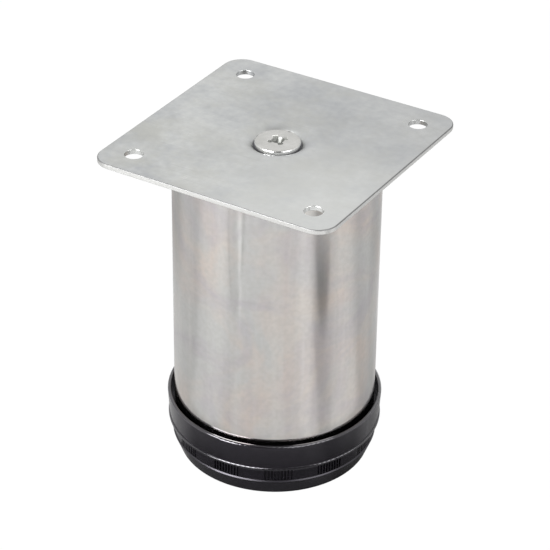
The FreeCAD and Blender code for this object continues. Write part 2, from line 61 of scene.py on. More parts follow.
# %% Levels and radii of the construction model
_, PLATE_HIGH = np.array(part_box("mounting_plate"))
SCREW_LOW, SCREW_HIGH = np.array(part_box("plate_screw"))
TUBE_LOW, TUBE_HIGH = np.array(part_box("leg_tube"))
SPINDLE_LOW, SPINDLE_HIGH = np.array(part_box("foot_spindle"))

PLATE_HALF = PLATE_HIGH[0]
PLATE_TOP = PLATE_HIGH[2]
TUBE_RADIUS = TUBE_HIGH[0]
print("plate half side", round(PLATE_HALF / MM, 2), "mm, top at", round(PLATE_TOP / MM, 2), "mm")

# %% [markdown]
# ## The camera
#
# The photograph looks down on the leg from its front right, with a long lens, so that upright edges stay
# almost parallel. A camera can be aimed by hand, by a constraint or by a matrix. Here the matrix is worked
# out from an azimuth, an elevation and a small roll, because the roll of the hand-held photograph is then
# one number.

# %% Camera from its angles
CAMERA_AZIMUTH = np.radians(31.165)
CAMERA_ELEVATION = np.radians(31.881)
CAMERA_ROLL = np.radians(0.714)
CAMERA_DISTANCE = 666.5 * MM
AIM_HEIGHT = 57.32 * MM
AIM_ASIDE = -0.291 * MM
SENSOR = 36.0
FOCAL_PIXELS = 2289.5
IMAGE_WIDTH = 550


def camera_axes(azimuth, elevation, roll):
    """Level, right, up and back: back points from the aim to the camera, and roll turns right and up."""
    flat = np.cos(elevation)
    back = np.array([np.sin(azimuth) * flat, -np.cos(azimuth) * flat, np.sin(elevation)])
    level = np.array([np.cos(azimuth), np.sin(azimuth), 0.0])
    raised = np.cross(back, level)
    right = level * np.cos(roll) + raised * np.sin(roll)
    up = raised * np.cos(roll) - level * np.sin(roll)
    return level, right, up, back


def new_object(name, data):
    """An object that shows the data, in the scene's collection."""
    item = bpy.data.objects.new(name, data)
    bpy.context.collection.objects.link(item)
    return item


level, right, up, back = camera_axes(CAMERA_AZIMUTH, CAMERA_ELEVATION, CAMERA_ROLL)
camera = new_object("camera", bpy.data.cameras.new("camera"))
camera.data.sensor_width = SENSOR
camera.data.lens = FOCAL_PIXELS / IMAGE_WIDTH * SENSOR
place = level * AIM_ASIDE + np.array([0, 0, AIM_HEIGHT]) + back * CAMERA_DISTANCE
turn = Matrix([[*row] for row in np.column_stack([right, up, back])]).to_4x4()
camera.matrix_world = Matrix.Translation(Vector(place)) @ turn
bpy.context.scene.camera = camera
print("lens", round(camera.data.lens, 2), "mm")

# %% [markdown]
# ## The room
#
# The reflections say that the leg stood on a bright white table between two softboxes, with the darker room
# behind the camera. Polished metal and glossy plastic show little but their surroundings, so the
# surroundings are the most useful thing to get right. They could be painted as an image. Here they are two
# ramps. The first goes by height, from a dimmer horizon up to the ceiling. The second darkens the directions
# near the camera, where the photographer stood: that leaves the small dark spot on the front of the screw's
# head. To the camera itself the world is plain white. Every node below is made, set and joined by one
# helper, which keeps the trees short enough to read.


# %% Helpers for node trees
def add_node(tree, kind, inputs=None, output=0, **settings):
    """A shader node with its settings, whose inputs are values or sockets to join. Gives an output."""
    node = tree.nodes.new("ShaderNode" + kind)
    for name, value in settings.items():
        setattr(node, name, value)
    for name, given in (inputs or {}).items():
        if isinstance(given, bpy.types.NodeSocket):
            tree.links.new(given, node.inputs[name])
        else:
            node.inputs[name].default_value = given
    return node.outputs[output] if node.outputs else None


def math_node(tree, operation, first, second=0.5, clamp=False):
    """A Math node whose inputs are sockets or numbers. Gives its output socket."""
    return add_node(tree, "Math", {0: first, 1: second}, operation=operation, use_clamp=clamp)


def blended(tree, factor, first, second, kind="MIX"):
    """The colour between two, each a colour triple or a socket. The kind MULTIPLY gives their product."""
    first, second = ((*given, 1) if isinstance(given, tuple) else given for given in (first, second))
    return add_node(tree, "Mix", {0: factor, 6: first, 7: second}, 2, data_type="RGBA", blend_type=kind)


def ramp_node(tree, factor, stops):
    """A smooth Color Ramp whose stops are (position, colour) or (position, grey level)."""
    colour = add_node(tree, "ValToRGB", {"Fac": factor})
    ramp = colour.node.color_ramp
    ramp.interpolation = "EASE"
    while len(ramp.elements) < len(stops):
        ramp.elements.new(0.5)
    for element, (position, level) in zip(ramp.elements, stops):
        element.position = position
        element.color = (*np.broadcast_to(level, 3), 1)
    return colour


def from_zero(tree, value):
    """A number from -1 to 1 brought to the range from 0 to 1."""
    return math_node(tree, "ADD", math_node(tree, "MULTIPLY", value, 0.5), 0.5)


# %% The world, darker on the camera's side
SKY_STOPS = [(0.50, (0.72, 0.72, 0.73)), (0.70, 0.92), (0.83, (0.96, 0.96, 0.95)), (1.00, 0.88)]
SHADE_ELEVATION = np.radians(24)
ROOM_STOPS = [(0.55, 1.0), (0.78, 0.7), (0.89, 0.45), (0.95, 0.12)]
WORLD_STRENGTH = 0.95

scene = bpy.context.scene
scene.view_settings.view_transform = "Standard"
world = bpy.data.worlds.new("studio")
scene.world = world
world.use_nodes = True
tree = world.node_tree
tree.nodes.clear()
direction = add_node(tree, "TexCoord", output="Generated")
height = add_node(tree, "SeparateXYZ", {0: direction}, "Z")
_, _, _, towards_camera = camera_axes(CAMERA_AZIMUTH, SHADE_ELEVATION, 0)
pair = {0: direction, 1: Vector(towards_camera)}
facing = add_node(tree, "VectorMath", pair, "Value", operation="DOT_PRODUCT")
sky = ramp_node(tree, from_zero(tree, height), SKY_STOPS)
shade = ramp_node(tree, from_zero(tree, facing), ROOM_STOPS)
room = blended(tree, 1.0, sky, shade, kind="MULTIPLY")
room_light = add_node(tree, "Background", {"Color": room, "Strength": WORLD_STRENGTH})
white = add_node(tree, "Background", {"Strength": 1.0})
camera_ray = add_node(tree, "LightPath", output="Is Camera Ray")
seen = add_node(tree, "MixShader", {0: camera_ray, 1: room_light, 2: white})
add_node(tree, "OutputWorld", {"Surface": seen})
print("world strength", WORLD_STRENGTH)

# %% [markdown]
# ## Softboxes
#
# The bead and the rim of the black foot each show two bright streaks, of which the left one is stronger.
# A streak lies where the surface faces halfway between the camera and its lamp, and that gives each lamp's
# place: about as high as the camera, on either side of it. Area lamps of a softbox's size make streaks with
# soft ends, which a spot or a sun lamp would not.

# %% The lamps
SOFTBOX_SIDE = 0.70
SOFTBOX_ELEVATION = 30
SOFTBOXES = {"left_softbox": (-49, 19.0), "right_softbox": (47, 4.8)}


def add_softbox(name, azimuth, power):
    """An area lamp, one metre off, that faces the leg. Azimuth is counted from the camera, to its right."""
    lamp = bpy.data.lights.new(name, "AREA")
    lamp.shape = "RECTANGLE"
    lamp.size = SOFTBOX_SIDE
    lamp.size_y = SOFTBOX_SIDE
    lamp.energy = power
    holder = new_object(name, lamp)
    _, _, _, away = camera_axes(CAMERA_AZIMUTH + np.radians(azimuth), np.radians(SOFTBOX_ELEVATION), 0)
    holder.location = Vector((0, 0, AIM_HEIGHT)) + Vector(away)
    holder.rotation_mode = "QUATERNION"
    holder.rotation_quaternion = Vector(away).to_track_quat("Z", "Y")
    holder.visible_camera = False


for name, (azimuth, power) in SOFTBOXES.items():
    add_softbox(name, azimuth, power)
print("lamps:", len(SOFTBOXES))

# %% [markdown]
# ## The table top
#
# The leg stands on a white table that runs off the edge of the picture. One large square does for it. To
# the camera it is plain white, and the shadow on it is too faint to see, as in the photograph. It rides on
# the glide, which is what stands on it when the foot is screwed out.

# %% Floor sheet
FLOOR_HALF = 2.0

corners = np.array([[-1, -1, 0], [1, -1, 0], [1, 1, 0], [-1, 1, 0]]) * FLOOR_HALF
sheet = bpy.data.meshes.new("floor")
sheet.from_pydata(corners.tolist(), [], [[0, 1, 2, 3]])
floor = new_object("floor", sheet)
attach(floor, "glide")
print("floor", 2 * FLOOR_HALF, "m square")

# %% [markdown]
# ## What the metal sees on the table
#
# The camera looks down, so the upright tube shows nothing but the table, drawn out into tall bands. So light
# and shade are painted on the table for the tube to show. There are broad tones that change with the
# direction, and painted shade in a ring close to the foot on the photographer's side. Painted shadows of the
# plate lie at both flanks behind the leg. A painted dark wedge with one sharp side lies at the right, and at
# the left a narrow painted U with a bright line in it. Each is a formula of the place on the floor, in
# metres from the leg's axis. Tones are ramps by azimuth and by distance. The wedge and the U are patches
# with a
# parabola for an outline: the plume dims the tone round the wedge, the slit is the U's dark rim, and its
# core and the beam are painted bright lines. Only glossy rays meet them, so the camera's own view of the
# table stays clean.


# %% Shapes on the floor
def seen_along(tree, vector, azimuth):
    """Distances on the floor along an azimuth and across it, counted from the leg's axis."""
    turn = (0, 0, np.pi / 2 - CAMERA_AZIMUTH - azimuth)
    turned = add_node(tree, "Mapping", {"Vector": vector, "Rotation": turn})
    split = add_node(tree, "SeparateXYZ", {0: turned}).node
    return split.outputs["X"], split.outputs["Y"]


def patch_mask(tree, place, degrees, tip, opening, softness, aside):
    """A mask that opens away from the leg: 1 where (v - aside) squared < opening x (u - tip)."""
    u, v = seen_along(tree, place, np.radians(degrees))
    across = math_node(tree, "SUBTRACT", v, aside)
    reach = math_node(tree, "MULTIPLY", math_node(tree, "SUBTRACT", u, tip), opening)
    inside = math_node(tree, "SUBTRACT", reach, math_node(tree, "MULTIPLY", across, across))
    return math_node(tree, "DIVIDE", inside, softness, clamp=True)


def between(tree, value, low, high, onto=(0, 1), kind="LINEAR"):
    """The value mapped so that low gives the first number of onto and high the second, and clamped there."""
    limits = {"From Min": low, "From Max": high, "To Min": onto[0], "To Max": onto[1]}
    return add_node(tree, "MapRange", {"Value": value, **limits}, interpolation_type=kind)


def stepped(tree, value, low, high):
    """A value mapped smoothly so that low gives 0 and high gives 1."""
    return between(tree, value, low, high, kind="SMOOTHSTEP")


def ranged(tree, mask, low, high):
    """A mask of 0 to 1 stretched to the range from low to high."""
    return between(tree, mask, 0, 1, onto=(low, high))


# %% Painted broad tones and shade by direction and distance
TABLE_TONE = 0.69
AZIMUTH_TONES = [
    (-180, 0.73), (-150, 0.63), (-120, 0.64), (-100, 0.59), (-90, 0.59), (-78, 0.72), (-60, 0.77),
    (-40, 0.66), (-35, 0.69), (-10, 0.69), (18, 0.71), (28, 0.84), (37, 0.75), (41, 0.58),
    (62, 0.84), (80, 0.79), (92, 0.64), (112, 0.77), (130, 0.97), (150, 0.94), (180, 0.90),
]
# Painted shade on the table close to the foot, by distance from the axis in mm.
NEAR_SHADE_TONES = [(30, 0.24), (40, 0.22), (48, 0.40), (60, 0.95)]
NEAR_RAMP_END = 100
SIDE_AZIMUTHS = np.radians([45, 100])


def painted_broad_tone(tree, azimuth, distance):
    """Painted tone by azimuth x painted shade by distance in mm. At the sides and behind the distance
    doesn't matter.
    """
    turn = math_node(tree, "ADD", math_node(tree, "DIVIDE", azimuth, 2 * np.pi), 0.5)
    tone = ramp_node(tree, turn, [(degrees / 360 + 0.5, level) for degrees, level in AZIMUTH_TONES])
    share = math_node(tree, "MULTIPLY", distance, 1 / (NEAR_RAMP_END * MM))
    near = ramp_node(tree, share, [(radius / NEAR_RAMP_END, level) for radius, level in NEAR_SHADE_TONES])
    sideways = stepped(tree, math_node(tree, "ABSOLUTE", azimuth), *SIDE_AZIMUTHS)
    near = math_node(tree, "MAXIMUM", near, sideways)
    return math_node(tree, "MULTIPLY", tone, math_node(tree, "MULTIPLY", near, TABLE_TONE))


# %% Painted wedge, U and painted plate shadows at the flanks
# Each patch: azimuth in degrees, tip, opening, softness, and how far aside it lies.
SHAPES = {
    "wedge": (47.5, 0.106, 0.0110, 2.2e-4, 0.0),
    "plume": (47.5, 0.062, 0.0180, 1.5e-4, 0.008),
    "slit": (-41, 0.126, 0.0150, 3e-5, 0.0),
    "slit core": (-41, 0.1295, 0.0112, 3e-5, 0.0),
    "beam": (-41, 0.115, 0.0006, 1e-5, 0.013),
}
# How much each patch darkens the painted table. The flanks behind the leg are painted shadows of the plate,
# and a negative depth paints a bright line.
DEPTHS = {"plume": 0.13, "slit": 0.36, "slit core": -0.45, "beam": -0.45, "plate_shadows": 0.26}
WEDGE_FADE = (0.14, 0.18)
WEDGE_DEPTHS = (0.5, 0.1)
FLANK_AZIMUTHS = np.radians([109, 129])
FLANK_DISTANCES = (0.085, 0.15)


def painted_table_light(tree, place):
    """Painted light and shade of the table, which reflections show: the broad tone x (1 - depth x mask) for
    every patch.

    A negative depth is a brighter place.
    """
    front, right = seen_along(tree, place, 0)
    azimuth = math_node(tree, "ARCTAN2", right, front)
    distance = add_node(tree, "VectorMath", {0: place}, "Value", operation="LENGTH")
    tone = painted_broad_tone(tree, azimuth, distance)
    behind = stepped(tree, math_node(tree, "ABSOLUTE", azimuth), *FLANK_AZIMUTHS)
    masks = {name: patch_mask(tree, place, *shape) for name, shape in SHAPES.items()}
    masks["plate_shadows"] = math_node(tree, "MULTIPLY", behind, stepped(tree, distance, *FLANK_DISTANCES))
    depths = {"wedge": ranged(tree, stepped(tree, distance, *WEDGE_FADE), *WEDGE_DEPTHS), **DEPTHS}
    for name, mask in masks.items():
        loss = math_node(tree, "MULTIPLY", mask, depths[name])
        tone = math_node(tree, "MULTIPLY", tone, math_node(tree, "SUBTRACT", 1.0, loss))
    return tone


# %% White paint of the floor
FLOOR_COLOUR = (0.86, 0.86, 0.86)
FLOOR_GLOW = 0.99
GLOW_STRENGTH = 1.01


def make_floor_material():
    """White paint that the camera also sees glow. Glossy rays meet the painted light and shade instead."""
    material = bpy.data.materials.new("white_table")
    material.use_nodes = True
    tree = material.node_tree
    tree.nodes.clear()
    place = add_node(tree, "TexCoord", output="Object")
    rays = add_node(tree, "LightPath").node.outputs
    colour = blended(tree, rays["Is Glossy Ray"], FLOOR_COLOUR, painted_table_light(tree, place))
    paint = add_node(tree, "BsdfDiffuse", {"Color": colour})
    glow = add_node(tree, "Emission", {"Strength": GLOW_STRENGTH})
    share = math_node(tree, "MULTIPLY", rays["Is Camera Ray"], FLOOR_GLOW)
    seen = add_node(tree, "MixShader", {0: share, 1: paint, 2: glow})
    add_node(tree, "OutputMaterial", {"Surface": seen})
    return material


floor.data.materials.append(make_floor_material())
print("tones by azimuth:", len(AZIMUTH_TONES), "stops")

# %% [markdown]
# ## From grids of points to a mesh
#
# Every new surface below is a grid: an array of points in rows and columns, worked out at once from a
# formula. One helper turns a list of grids into one mesh. It numbers the corners of all quads with array
# arithmetic, merges the rows that two grids share, and turns the faces outwards. Edges sharper than a
# limit stay crisp, and the rest shades smoothly.

# %% Mesh from grids
MERGE_DISTANCE = 1e-6
SHARP_ANGLE = np.radians(32)


def grid_quads(rows, columns, first):
    """Corner numbers of each quad of a grid whose first point has the number first."""
    numbers = first + np.arange(rows * columns).reshape(rows, columns)
    quads = [numbers[:-1, :-1], numbers[1:, :-1], numbers[1:, 1:], numbers[:-1, 1:]]
    return np.stack(quads, axis=-1).reshape(-1, 4)


def mesh_from_grids(name, grids):
    """One closed mesh from grids that meet along their edges."""
    points = np.concatenate([grid.reshape(-1, 3) for grid in grids])
    starts = np.cumsum([0] + [grid.shape[0] * grid.shape[1] for grid in grids[:-1]])
    quads = [grid_quads(*grid.shape[:2], start) for grid, start in zip(grids, starts)]
    mesh = bpy.data.meshes.new(name)
    mesh.from_pydata(points.tolist(), [], np.concatenate(quads).tolist())
    work = bmesh.new()
    work.from_mesh(mesh)
    bmesh.ops.remove_doubles(work, verts=work.verts, dist=MERGE_DISTANCE)
    bmesh.ops.dissolve_degenerate(work, edges=work.edges, dist=MERGE_DISTANCE / 10)
    bmesh.ops.recalc_face_normals(work, faces=work.faces)
    open_edges = sum(not edge.is_manifold for edge in work.edges)
    work.to_mesh(mesh)
    work.free()
    mesh.shade_smooth()
    mesh.set_sharp_from_angle(angle=SHARP_ANGLE)
    piece = new_object(name, mesh)
    print(f"{name}: {len(mesh.vertices)} points, {len(mesh.polygons)} faces, {open_edges} open edges")
    return piece


def point_rows(piece):
    """The x, y and z of a mesh's points as three arrays."""
    points = np.empty(3 * len(piece.data.vertices))
    piece.data.vertices.foreach_get("co", points)
    return points.reshape(-1, 3).T


def mark_points(piece, name, values):
    """A named number on every point, for a material to read."""
    attribute = piece.data.attributes.new(name, "FLOAT", "POINT")
    attribute.data.foreach_set("value", np.asarray(values, dtype=float))


def put_on(piece, node, body):
    """The piece rides on a body and stands for one node of the construction model."""
    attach(piece, body)
    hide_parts(node)
    return piece


# %% [markdown]
# ## Profiles with rounded corners
#
# A turned or pressed piece is a profile carried round the middle axis. Its corners are never quite sharp,
# and the small radii are what catches the light. The helper replaces a corner by an arc that touches both
# sides. It also keeps a point a little way along each straight side, so that smooth shading stays in the
# arc and the flats look flat.

# %% Rounded profile
GUARD = 0.12 * MM
STRAIGHT = 1e-6


def rounded_profile(corners, steps=8):
    """Points (radius, height) along a chain of (radius, height, rounding) corners.

    The arc of a corner that turns by an angle starts at rounding x tan(angle / 2) before the corner and
    ends as far behind it. Its points turn about a centre that lies one rounding away from both sides.
    """
    corners = np.array(corners, dtype=float)
    points = [corners[0, :2]]
    for before, (r, z, rounding), after in zip(corners[:-2], corners[1:-1], corners[2:]):
        here = np.array([r, z])
        into = (here - before[:2]) / np.linalg.norm(here - before[:2])
        out = (after[:2] - here) / np.linalg.norm(after[:2] - here)
        turn = np.arctan2(into[0] * out[1] - into[1] * out[0], into @ out)
        if rounding == 0 or abs(turn) < STRAIGHT:
            points.append(here)
            continue
        reach = rounding * np.tan(abs(turn) / 2)
        normal = np.array([-into[1], into[0]]) * np.sign(turn)
        start = here - into * reach
        centre = start + normal * rounding
        swing = np.linspace(0, turn, steps + 1)
        arm = start - centre
        arc_r = centre[0] + arm[0] * np.cos(swing) - arm[1] * np.sin(swing)
        arc_z = centre[1] + arm[0] * np.sin(swing) + arm[1] * np.cos(swing)
        guard = min(GUARD, reach / 4)
        points.append(start - into * guard)
        points.extend(np.column_stack([arc_r, arc_z]))
        points.append(here + out * (reach + guard))
    points.append(corners[-1, :2])
    return np.array(points)


def directions(angles):
    """The cosine and the sine of each angle, side by side."""
    return np.column_stack([np.cos(angles), np.sin(angles)])


def round_axis(radius, angle, height):
    """Points round the Z axis: radius x cosine, radius x sine, height."""
    return np.stack(np.broadcast_arrays(radius * np.cos(angle), radius * np.sin(angle), height), axis=-1)


def turned_grid(profile, angles):
    """Each profile point (radius, height) carried round the axis."""
    return round_axis(profile[:, 0, None], angles, profile[:, 1, None])


def full_circle(count):
    """Angles all the way round, with the first repeated at the end."""
    return np.linspace(0, 2 * np.pi, count + 1)


# %% [markdown]
# ## The tube
#
# A tube like this is welded steel, sawn to length, with its ends lightly brushed so that they don't cut. It
# could be a cylinder with a Solidify modifier. As a turned profile it gets the small roundings of its four
# end corners at no extra cost.

# %% Tube
TUBE_WALL = 1.0 * MM
TUBE_END_ROUND = 0.15 * MM
TUBE_SEGMENTS = 288


def make_tube():
    """Ring profile: up the outside, over the top end, down the inside and back along the lower end."""
    outside, inside = TUBE_RADIUS, TUBE_RADIUS - TUBE_WALL
    low, high = TUBE_LOW[2], TUBE_HIGH[2]
    middle = (low + high) / 2
    corners = [
        (outside, middle, 0),
        (outside, high, TUBE_END_ROUND),
        (inside, high, TUBE_END_ROUND),
        (inside, low, TUBE_END_ROUND),
        (outside, low, TUBE_END_ROUND),
        (outside, middle, 0),
    ]
    return mesh_from_grids("tube_shell", [turned_grid(rounded_profile(corners), full_circle(TUBE_SEGMENTS))])


tube = put_on(make_tube(), "leg_tube", "leg")

# %% [markdown]
# ## The mounting plate
#
# The plate is pressed from sheet: a square with rounded corners, four plain holes and a shallow dish in
# the middle that takes the screw. Cutting holes with booleans leaves long thin triangles that shade badly
# on a metal sheet. Instead the plate is a quilt. Each quarter is one grid that runs from its hole outwards
# to the quarter's border, which is part of the square's edge, part of the dish's circle and the two lines
# where the quarters meet. Rings then carry on from these borders: round the edge, down into the dish and
# through the holes.

# %% Plate sizes
PLATE_THICKNESS = 1.5 * MM
CORNER_RADIUS = 6.0 * MM
EDGE_ROUND = 0.3 * MM
HOLE_PLACE = 29.0 * MM
HOLE_RADIUS = 2.7 * MM
HOLE_ROUND = 0.18 * MM
DISH_DEPTH = 2.0 * MM
DISH_FLOOR_RADIUS = 6.9 * MM
DISH_MOUTH_RADIUS = 9.0 * MM
MOUTH_BEND = 3.4 * MM
FLOOR_BEND = 0.45 * MM
SCREW_HOLE_RADIUS = 3.2 * MM
SIDE_STEPS = 14
CORNER_STEPS = 14
ARC_STEPS = 40
RING_CROWDING = 1.6


# %% Border of one quarter
def quarter_border(inset, dish_radius):
    """Border of the first quarter, anticlockwise from the dish on the X axis, for one sheet face.

    The outer side is a straight line, a quarter circle round the corner and a straight line, all moved
    inwards by inset. Then come the line back to the dish and the dish's quarter circle.
    """
    side = PLATE_HALF - inset
    bend = CORNER_RADIUS - inset
    inner = side - bend
    upright = np.column_stack([np.full(SIDE_STEPS, side), np.linspace(0, inner, SIDE_STEPS)])
    corner = np.linspace(0, np.pi / 2, CORNER_STEPS + 1)[1:-1]
    spoke = np.linspace(dish_radius, side, SIDE_STEPS)
    arc = np.linspace(np.pi / 2, 0, ARC_STEPS + 1)
    edge = np.concatenate([upright, inner + bend * directions(corner), upright[::-1, ::-1]])
    along_x = np.column_stack([spoke, np.zeros(SIDE_STEPS)])
    circle = dish_radius * directions(arc)
    border = np.concatenate([along_x[:-1], edge[:-1], along_x[:0:-1, ::-1], circle])
    return border, edge


def quarter_sheet(inset, dish_radius, hole_radius, height, rings=10):
    """Grid from the hole's circle to the quarter's border: (1 - t) x circle + t x border.

    The circle's point lies in the direction in which the border's point is seen from the hole's centre,
    so no two of the grid's lines cross. These directions are kept to carry the hole's wall on.
    """
    border, _ = quarter_border(inset, dish_radius)
    ray = (border - HOLE_PLACE) / np.linalg.norm(border - HOLE_PLACE, axis=1, keepdims=True)
    rim = HOLE_PLACE + hole_radius * ray
    share = (np.linspace(0, 1, rings) ** RING_CROWDING)[:, None, None]
    flat = (1 - share) * rim + share * border
    return np.dstack([flat, np.full(flat.shape[:2], height)]), ray


def four_turns(grid):
    """The grid and its copies turned by 90, 180 and 270 degrees round the Z axis."""
    turns = [grid]
    for _ in range(3):
        x, y, z = np.moveaxis(turns[-1], -1, 0)
        turns.append(np.stack([-y, x, z], axis=-1))
    return turns


# %% Plate surfaces
PLATE_UNDERSIDE = PLATE_TOP - PLATE_THICKNESS
FLAT_MARGIN = 2.2 * MM


def cut_face(place, rounding, back, steps):
    """Profile of a cut straight down through the sheet, with both ends rounded towards back."""
    corners = [
        (place + back, PLATE_TOP, 0),
        (place, PLATE_TOP, rounding),
        (place, PLATE_UNDERSIDE, rounding),
        (place + back, PLATE_UNDERSIDE, 0),
    ]
    return rounded_profile(corners, steps)[1:-1]


def plate_edge():
    """The square's edge: the border moved out along the profile from the top to the underside."""
    rows = []
    for outwards, height in cut_face(0, EDGE_ROUND, -EDGE_ROUND, steps=6):
        _, edge = quarter_border(-outwards, DISH_MOUTH_RADIUS)
        rows.append(np.column_stack([edge, np.full(len(edge), height)]))
    return np.stack(rows)


def dish_profile():
    """Section of the dish from the top face down to the screw hole and back out below, as two bent lines."""
    slope = np.arctan2(DISH_DEPTH, DISH_MOUTH_RADIUS - DISH_FLOOR_RADIUS)
    shift = PLATE_THICKNESS * np.tan(slope / 2)
    floor = PLATE_TOP - DISH_DEPTH
    below = floor - PLATE_THICKNESS
    flat_reach = DISH_MOUTH_RADIUS + FLAT_MARGIN
    corners = [
        (flat_reach, PLATE_TOP, 0),
        (DISH_MOUTH_RADIUS, PLATE_TOP, MOUTH_BEND + PLATE_THICKNESS),
        (DISH_FLOOR_RADIUS, floor, FLOOR_BEND),
        (SCREW_HOLE_RADIUS, floor, HOLE_ROUND),
        (SCREW_HOLE_RADIUS, below, HOLE_ROUND),
        (DISH_FLOOR_RADIUS + shift, below, FLOOR_BEND + PLATE_THICKNESS),
        (DISH_MOUTH_RADIUS + shift, PLATE_UNDERSIDE, MOUTH_BEND),
        (flat_reach, PLATE_UNDERSIDE, 0),
    ]
    return rounded_profile(corners, steps=12), flat_reach


def hole_wall(ray):
    """The hole's wall: its circle carried down with a small rounding at both mouths."""
    profile = cut_face(HOLE_RADIUS, HOLE_ROUND, HOLE_ROUND, steps=5)
    flat = HOLE_PLACE + profile[:, 0, None, None] * ray
    return np.dstack([flat, np.broadcast_to(profile[:, 1, None], flat.shape[:2])])


# %% Plate and the marks on its points
RIM_DEPTHS = (0.9 * EDGE_ROUND, PLATE_THICKNESS - 0.01 * MM)
TOP_EDGE_DEPTHS = (0.004 * MM, 0.8 * EDGE_ROUND)
HOLE_CLEARANCE = 1.5 * HOLE_RADIUS
DISH_MARK_RADIUS = DISH_MOUTH_RADIUS + MM


def within(values, limits):
    """Where the values lie between two limits."""
    return (values > limits[0]) & (values < limits[1])


def make_plate():
    """All grids of the plate, joined."""
    profile, dish_reach = dish_profile()
    guard = min(GUARD, EDGE_ROUND / 4)
    mouth = min(GUARD, HOLE_ROUND / 4)
    grids = []
    for height in (PLATE_TOP, PLATE_UNDERSIDE):
        sheet, ray = quarter_sheet(EDGE_ROUND + guard, dish_reach, HOLE_RADIUS + HOLE_ROUND + mouth, height)
        grids += four_turns(sheet)
    grids += four_turns(hole_wall(ray))
    grids += four_turns(plate_edge())
    grids.append(turned_grid(profile, full_circle(4 * ARC_STEPS)))
    piece = mesh_from_grids("pressed_plate", grids)
    x, y, z = point_rows(piece)
    deep = PLATE_TOP - z
    outside = np.maximum(np.abs(x), np.abs(y)) > PLATE_HALF - CORNER_RADIUS
    edge = outside & (np.hypot(np.abs(x) - HOLE_PLACE, np.abs(y) - HOLE_PLACE) > HOLE_CLEARANCE)
    # The rim mark is the cut face, which the zinc paints paler as a painted highlight.
    mark_points(piece, "rim", edge & within(deep, RIM_DEPTHS))
    # The line along the top of the edge, which the zinc paints darker and duller.
    mark_points(piece, "top_edge_line", edge & within(deep, TOP_EDGE_DEPTHS))
    # The dish mark also sets where painted shade fills the gap round the screw's head.
    in_dish = np.hypot(x, y) < DISH_MARK_RADIUS
    mark_points(piece, "dish", np.where(in_dish, np.clip(deep / DISH_DEPTH, 0, 1), 0))
    return piece


plate = put_on(make_plate(), "mounting_plate", "leg")

# %% [markdown]
# ## The plate screw
#
# The head is low and flat with a rounded rim and a cross recess. A recess cut with a boolean would leave
# the same poor triangles as before. Instead the head's middle is a square grid turned to the recess, with
# grid lines exactly where the recess has its edges, and its height is a formula: the cross is the deeper
# of two tapered slots and a small cone. A second grid joins the square to the round rim, and the shank with
# its thread carries on below.

# %% Screw sizes
HEAD_RADIUS = 6.6 * MM
HEAD_HEIGHT = 1.7 * MM
HEAD_ROUND = 0.6 * MM
HEAD_DOME = 0.06 * MM
RECESS_ANGLE = np.radians(50)
RECESS_HALF_SPAN = 2.9 * MM
RECESS_HALF_WING = 0.75 * MM
RECESS_DEPTH = 1.4 * MM
RECESS_END_TAPER = 1.0 * MM
RECESS_SIDE_TAPER = 0.35 * MM
RECESS_CONE_RADIUS = 1.8 * MM
RECESS_CONE_TAPER = 0.45 * RECESS_CONE_RADIUS
SCREW_RADIUS = 3.0 * MM
SCREW_PITCH = 1.0 * MM
SCREW_GROOVE = 0.55 * MM
SCREW_CHAMFER = 0.8 * MM
SCREW_FADES = (0.5 * MM, 1.2 * MM)
SCREW_ROWS = 140
SEAT_ROUND = 0.12 * MM
RIM_ROUND = 0.98 * HEAD_ROUND
WALL_START = 0.3 * HEAD_ROUND
WALL_INSET = 0.5 * HEAD_ROUND
SQUARE_HALF = 3.4 * MM


# %% Cross recess
def recess_depth(u, v):
    """Depth of the cross at (u, v): the largest of two tapered slots and a cone, limited to the floor.

    A slot's depth grows from its ends by the end taper and from its sides by the side taper, whichever is
    less. The cone's depth falls evenly from the middle to its radius.
    """

    def slot(along, across):
        from_end = (RECESS_HALF_SPAN - np.abs(along)) / RECESS_END_TAPER
        from_side = (RECESS_HALF_WING - np.abs(across)) / RECESS_SIDE_TAPER
        return np.minimum(from_end, from_side)

    cone = (RECESS_CONE_RADIUS - np.hypot(u, v)) / RECESS_CONE_TAPER
    share = np.maximum(np.maximum(slot(u, v), slot(v, u)), cone)
    return RECESS_DEPTH * np.clip(share, 0, 1)


def recess_lines():
    """Grid lines from the middle outwards, with one at each edge of the recess, then mirrored."""
    stops = [
        0,
        RECESS_HALF_WING - RECESS_SIDE_TAPER,
        RECESS_HALF_WING,
        RECESS_CONE_RADIUS,
        RECESS_HALF_SPAN - RECESS_END_TAPER,
        RECESS_HALF_SPAN,
        SQUARE_HALF,
    ]
    steps = [4, 4, 8, 5, 6, 4]
    spans = zip(stops, stops[1:], steps)
    lines = [np.linspace(low, high, count, endpoint=False) for low, high, count in spans]
    half = np.concatenate([*lines, [SQUARE_HALF]])
    return np.concatenate([-half[:0:-1], half])


def dome_height(radius, top):
    """Height of the head's slightly domed face: top less a share of the radius squared."""
    return top - HEAD_DOME * (radius / HEAD_RADIUS) ** 2


def head_middle(top):
    """Square grid over the recess."""
    lines = recess_lines()
    u, v = np.meshgrid(lines, lines, indexing="ij")
    x = u * np.cos(RECESS_ANGLE) - v * np.sin(RECESS_ANGLE)
    y = u * np.sin(RECESS_ANGLE) + v * np.cos(RECESS_ANGLE)
    z = dome_height(np.hypot(u, v), top) - recess_depth(u, v)
    return np.stack([x, y, z], axis=-1)


def head_surround(middle, top, rings=10):
    """Grid from the square's border to the circle where the rim's rounding begins."""
    border = np.concatenate([middle[:-1, 0], middle[-1, :-1], middle[:0:-1, -1], middle[0, ::-1]])
    angle = np.arctan2(border[:, 1], border[:, 0])
    reach = HEAD_RADIUS - HEAD_ROUND
    circle = reach * directions(angle)
    share = np.linspace(0, 1, rings)[:, None, None]
    flat = (1 - share) * border[:, :2] + share * circle
    height = dome_height(np.hypot(flat[..., 0], flat[..., 1]), top)
    return np.dstack([flat, height]), np.unwrap(angle)


# %% Thread
CREST_STRETCH = 1.35
CREST_SHIFT = 0.15


